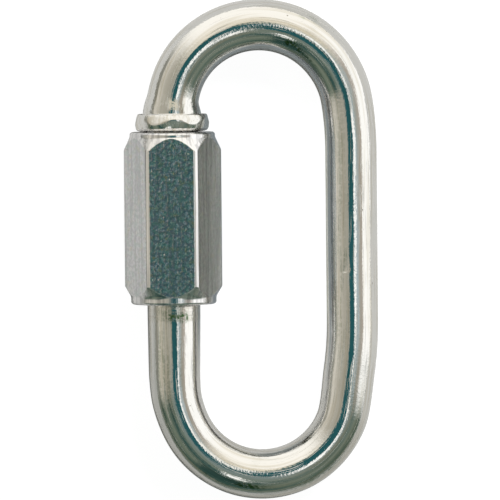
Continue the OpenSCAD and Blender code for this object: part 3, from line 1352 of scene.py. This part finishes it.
class Side(Enum):
    """Walls of the studio: angles from the zenith in degrees, each with the wall's colour there."""

    RIGHT = ((16, (0.40, 0.48, 0.51)), (28, (0.36, 0.35, 0.31)), (42, (0.39, 0.35, 0.30)),
             (48, (1.0, 1.0, 0.97)), (86, (1.0, 1.0, 0.98)))
    TOP = ((10, (0.42, 0.42, 0.35)), (21, (0.72, 0.66, 0.53)), (33, (0.97, 0.94, 0.87)),
           (86, (0.98, 0.96, 0.90)))
    LEFT = ((14, (0.33, 0.32, 0.27)), (45, (0.40, 0.38, 0.32)), (72, (0.61, 0.58, 0.51)),
            (75, (0.42, 0.40, 0.34)), (79, (0.23, 0.23, 0.20)))
    BOTTOM = ((16, (0.18, 0.225, 0.215)), (30, (0.16, 0.20, 0.165)), (42, (0.018, 0.062, 0.058)),
              (57, (0.16, 0.19, 0.145)), (70, (0.11, 0.145, 0.11)), (79, (0.025, 0.065, 0.055)),
              (86, (0.15, 0.17, 0.13)))
    LOW_RIGHT = ((16, (0.18, 0.225, 0.215)), (30, (0.19, 0.21, 0.17)), (42, (0.10, 0.14, 0.12)),
                 (60, (0.17, 0.20, 0.16)), (79, (0.07, 0.11, 0.09)), (86, (0.15, 0.17, 0.13)))


@dataclass
class Studio:
    """Floor, surrounding light and camera."""

    camera_height: float = 0.80
    camera_lean_deg: float = 1.0
    camera_rise_deg: float = 2.5
    frame_width: float = 58.15 * MM
    aim: Triple = (-0.12 * MM, 0.005 * MM, 5.0 * MM)
    roll_deg: float = -0.54
    sensor: float = 36.0
    floor_size: float = 3.0
    floor_albedo: Colour = (0.43, 0.44, 0.45)
    # painted shade: the floor tone that the metal mirrors is darker towards the link's foot, away from
    # the lamp
    floor_foot_painted_shade: Colour = (0.28, 0.29, 0.29)
    # painted shadow on the floor inside the loop
    floor_painted_shadow: Colour = (0.15, 0.18, 0.20)
    # painted pool of light on the floor under the back leg, not a real card
    floor_painted_light: Colour = (0.72, 0.75, 0.73)
    # painted shade on the floor far below the link's foot
    floor_far_painted_shade: Colour = (0.07, 0.10, 0.09)
    floor_shown: float = 0.74
    floor_mirrored: float = 0.04
    floor_white: float = 1.30
    # how the painted shade towards the link's foot leans and where it fades
    foot_shade_lean: float = 0.35
    foot_shade_edge: Fade = Fade(-36.0 * MM, -6.0 * MM)
    # oval of the painted shadow inside the loop, and its soft edge
    loop_painted_shadow: Oval = Oval(-0.5 * MM, 4.5 * MM, 6.5 * MM, 19.5 * MM)
    loop_shadow_edge: Fade = Fade(0.6, 1.2, 1.0, 0.0)
    # bands along X and Y of the painted pool of light under the back leg
    lit_patch_x: Band = (4.5 * MM, 7.0 * MM, 12.0 * MM, 14.0 * MM)
    lit_patch_y: Band = (-10.0 * MM, -6.0 * MM, 14.0 * MM, 18.0 * MM)
    # where the painted shade far below the foot begins
    far_shade_edge: Fade = Fade(-90.0 * MM, -50.0 * MM, 1.0, 0.0)
    wall_strength: float = 1.22
    wall_lean: float = 0.16
    wall_rise: float = 0.044
    right_edge: Fade = Fade(-0.02, 0.02)
    top_edge: Fade = Fade(0.45, 0.88)
    low_edge: Fade = Fade(-0.10, -0.36)
    low_right_edge: Fade = Fade(-95.0, -62.0)
    dim_corner: Colour = (0.012, 0.042, 0.038)
    dim_polar: Band = (46.0, 54.0, 72.0, 80.0)
    dim_bearing: Band = (-134.0, -122.0, -98.0, -90.0)
    dim_share: float = 0.9
    small_polar: Band = (28.0, 33.0, 42.0, 47.0)
    small_bearing: Band = (-115.0, -110.0, -101.0, -96.0)
    hood_size: float = 0.6
    hood_height: float = 0.358
    hood: Oval = Oval(0.0214, -0.0060, 0.0865, 0.0955)
    hood_edge: Fade = Fade(0.86, 1.14, 1.0, 0.0)
    high_lamp: Oval = Oval(0.1070, -0.0080, 0.0300, 0.0370)
    low_lamp: Oval = Oval(0.1070, -0.0840, 0.0260, 0.0540)
    top_lamp: Oval = Oval(0.0980, 0.0380, 0.0270, 0.0340)
    lamp_edge: Fade = Fade(0.85, 1.15, 1.0, 0.0)
    dark_top: Colour = (0.018, 0.088, 0.098)
    lamp_white: Colour = (1.0, 1.0, 0.97)
    lamp_strength: float = 4.4
    lamp_colour: Colour = (1.0, 0.96, 0.92)
    lamp_spread_deg: float = 20.0
    lamp_bearing_deg: float = 55.0
    lamp_elevation_deg: float = 42.0

    def build(self) -> None:
        """Makes the floor, the light and the camera."""
        self._floor()
        self._overhead()
        self._world()
        self._lamp()
        self._camera()

    def _floor(self) -> None:
        """Flat floor that the camera sees as white, with the link's shadow kept on it.

        What the metal mirrors of it has painted shade towards the link's foot, a painted shadow inside
        its loop, painted shade far below the foot and a painted pool of light under the back leg.
        """
        _, tree, place = self._sheet("floor", self.floor_size, 0.0)
        paths = tree.add("ShaderNodeLightPath").outputs
        upwards = tree.total(place["Y"], (place["X"], self.foot_shade_lean))
        # mask of the painted shadow inside the loop
        in_loop_shadow = tree.fade(self._oval(tree, place, self.loop_painted_shadow), self.loop_shadow_edge)
        # mask of the painted pool of light under the back leg
        lit_patch = tree.times(tree.band(place["X"], self.lit_patch_x), tree.band(place["Y"], self.lit_patch_y))
        tone = tree.layered(
            # painted shade towards the link's foot, fading to the plain floor tone up the link
            self.floor_foot_painted_shade,
            (tree.fade(upwards, self.foot_shade_edge), self.floor_albedo),
            # painted shadow inside the loop
            (in_loop_shadow, self.floor_painted_shadow),
            # painted pool of light under the back leg
            (lit_patch, self.floor_painted_light),
            # painted shade far below the link's foot
            (tree.fade(place["Y"], self.far_shade_edge), self.floor_far_painted_shade),
        )
        plain = tree.add("ShaderNodeBsdfDiffuse", {"Color": tone})
        white = tree.add("ShaderNodeEmission", {"Strength": self.floor_white})
        seen = tree.math("MAXIMUM", paths["Is Camera Ray"], paths["Is Transmission Ray"])
        mirrored = tree.times(paths["Is Glossy Ray"], self.floor_mirrored)
        share = tree.total(mirrored, (seen, self.floor_shown))
        tree.show("ShaderNodeOutputMaterial", share, plain, white)

    def _overhead(self) -> None:
        """Dark camera hood over the link, with a bent lamp of three ovals beside it.

        Only mirror-like surfaces see it. It hangs at a real height, so each bow mirrors it in its
        own place.
        """
        hood, tree, place = self._sheet("overhead", self.hood_size, self.hood_height)
        hood.visible_camera = False
        hood.visible_diffuse = False
        hood.visible_transmission = False
        hood.visible_shadow = False
        nearest = self._oval(tree, place, self.high_lamp)
        for lamp in (self.low_lamp, self.top_lamp):
            nearest = tree.math("MINIMUM", nearest, self._oval(tree, place, lamp))
        lit = tree.fade(nearest, self.lamp_edge)
        dark = tree.fade(self._oval(tree, place, self.hood), self.hood_edge)
        colour = tree.mix(lit, self.dark_top, self.lamp_white)
        glow = tree.add("ShaderNodeEmission", {"Color": colour, "Strength": self.wall_strength})
        clear = tree.add("ShaderNodeBsdfTransparent")
        tree.show("ShaderNodeOutputMaterial", tree.math("MAXIMUM", dark, lit), clear, glow)

    @staticmethod
    def _sheet(name: str, size: float, height: float) -> tuple[bpy.types.Object, Tree, Sockets]:
        """Square level sheet of the studio.

        Args:
            name: Name of the sheet.
            size: Length of its sides.
            height: Height over the plane that the link lies on.

        Returns:
            The sheet, the nodes of its still empty material and the sockets of its X, Y and Z.
        """
        half = size / 2
        sides = [(-half, -half), (half, -half), (half, half), (-half, half)]
        mesh = bpy.data.meshes.new(name)
        mesh.from_pydata([(x, y, height) for x, y in sides], [], [(0, 1, 2, 3)])
        sheet = bpy.data.objects.new(name, mesh)
        bpy.context.scene.collection.objects.link(sheet)
        material = bpy.data.materials.new(name)
        material.use_nodes = True
        material.node_tree.nodes.clear()
        mesh.materials.append(material)
        tree = Tree(material.node_tree)
        place = tree.add("ShaderNodeTexCoord").outputs["Object"]
        return sheet, tree, tree.add("ShaderNodeSeparateXYZ", {0: place}).outputs

    def _world(self) -> None:
        """Soft walls round the link by direction, and plain white where the camera looks past it.

        The directions are sheared, most at the zenith, so that the walls stand square to the
        leaning loop and to the camera. The wall at the link's foot has a dim corner and a small lamp.
        """
        world = bpy.data.worlds.new("studio")
        bpy.context.scene.world = world
        world.use_nodes = True
        world.node_tree.nodes.clear()
        tree = Tree(world.node_tree)
        direction = tree.add("ShaderNodeTexCoord").outputs["Generated"]
        axes = tree.add("ShaderNodeSeparateXYZ", {0: direction}).outputs
        across = tree.total(axes["X"], (axes["Z"], -self.wall_lean))
        up = tree.total(axes["Y"], (axes["Z"], self.wall_rise))
        flat = tree.math("SQRT", tree.math("ADD", tree.times(across, across), tree.times(up, up)))
        polar = tree.math("DEGREES", tree.math("ARCTAN2", flat, axes["Z"]))
        bearing = tree.math("DEGREES", tree.math("ARCTAN2", up, across))
        upwards = tree.math("DIVIDE", up, flat)
        wall = {side: self._wall(tree, polar, side) for side in Side}
        to_right = tree.fade(bearing, self.low_right_edge)
        low = tree.mix(to_right, wall[Side.BOTTOM], wall[Side.LOW_RIGHT])
        dim = tree.times(tree.band(polar, self.dim_polar), tree.band(bearing, self.dim_bearing))
        small = tree.times(tree.band(polar, self.small_polar), tree.band(bearing, self.small_bearing))
        walls = tree.layered(
            wall[Side.LEFT],
            (tree.fade(across, self.right_edge), wall[Side.RIGHT]),
            (tree.fade(upwards, self.top_edge), wall[Side.TOP]),
            (tree.fade(upwards, self.low_edge), low),
            (tree.times(dim, self.dim_share), self.dim_corner),
            (small, self.lamp_white),
        )
        panels = tree.add("ShaderNodeBackground", {"Color": walls, "Strength": self.wall_strength})
        white = tree.add("ShaderNodeBackground", {"Color": opaque((1.0, 1.0, 1.0))})
        paths = tree.add("ShaderNodeLightPath").outputs
        seen = tree.math("MAXIMUM", paths["Is Camera Ray"], paths["Is Transmission Ray"])
        tree.show("ShaderNodeOutputWorld", seen, panels, white)

    @staticmethod
    def _oval(tree: Tree, place: Sockets, oval: Oval) -> Socket:
        """Distance from the middle of an oval.

        Args:
            tree: The sheet's nodes.
            place: Sockets of the sheet's X, Y and Z.
            oval: The oval.

        Returns:
            0 in the middle and 1 on the edge.
        """
        x = tree.math("MULTIPLY_ADD", place["X"], 1.0 / oval.reach_x, -oval.x / oval.reach_x)
        y = tree.math("MULTIPLY_ADD", place["Y"], 1.0 / oval.reach_y, -oval.y / oval.reach_y)
        return tree.math("SQRT", tree.total(tree.times(y, y), (x, x)))

    @staticmethod
    def _wall(tree: Tree, polar: Socket, side: Side) -> Socket:
        """Colour of one wall by the angle from the zenith.

        Args:
            tree: The world's nodes.
            polar: Angle from the zenith, in degrees.
            side: The wall.

        Returns:
            The colour at that angle.
        """
        node = tree.add("ShaderNodeValToRGB", {0: tree.math("DIVIDE", polar, HORIZON_DEG)})
        stops = node.color_ramp.elements
        stops.remove(stops[1])
        for index, (angle, colour) in enumerate(side.value):
            position = angle / HORIZON_DEG
            stop = stops[0] if index == 0 else stops.new(position)
            stop.position = position
            stop.color = opaque(colour)
        return node.outputs[0]

    def _lamp(self) -> None:
        """Broad lamp for the floor alone, so that the link's shadow falls down and to the left."""
        data = bpy.data.lights.new("floor_lamp", "SUN")
        data.energy = self.lamp_strength
        data.color = self.lamp_colour
        data.angle = math.radians(self.lamp_spread_deg)
        lamp = bpy.data.objects.new("floor_lamp", data)
        lamp.visible_glossy = False
        tilt = math.radians(HORIZON_DEG - self.lamp_elevation_deg)
        lamp.rotation_euler = (0.0, tilt, math.radians(self.lamp_bearing_deg))
        bpy.context.scene.collection.objects.link(lamp)

    def _camera(self) -> None:
        """Long lens above the link, leaning a little to +X and +Y, with a slight roll."""
        data = bpy.data.cameras.new("camera")
        data.sensor_width = self.sensor
        data.lens = self.sensor * self.camera_height / self.frame_width
        camera = bpy.data.objects.new("camera", data)
        bpy.context.scene.collection.objects.link(camera)
        angles = (-self.camera_rise_deg, self.camera_lean_deg, self.roll_deg)
        camera.rotation_euler = [math.radians(angle) for angle in angles]
        back = camera.rotation_euler.to_matrix() @ Vector((0.0, 0.0, self.camera_height))
        camera.location = Vector(self.aim) + back
        bpy.context.scene.camera = camera


def main() -> None:
    """Builds the link, its finishes and the studio, and logs how many points each piece has."""
    logging.basicConfig(level=logging.INFO, format="%(message)s")
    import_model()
    bpy.context.scene.view_settings.view_transform = "Standard"
    effects = Effects()
    leg = NutLeg.from_frame()
    for part in (LinkBar(leg), SleeveNut(leg)):
        piece = part.build()
        part.dress(piece, effects)
        LOG.info("%s: %d points", piece.name, len(piece.data.vertices))
    Studio().build()


if __name__ == "__main__":
    main()
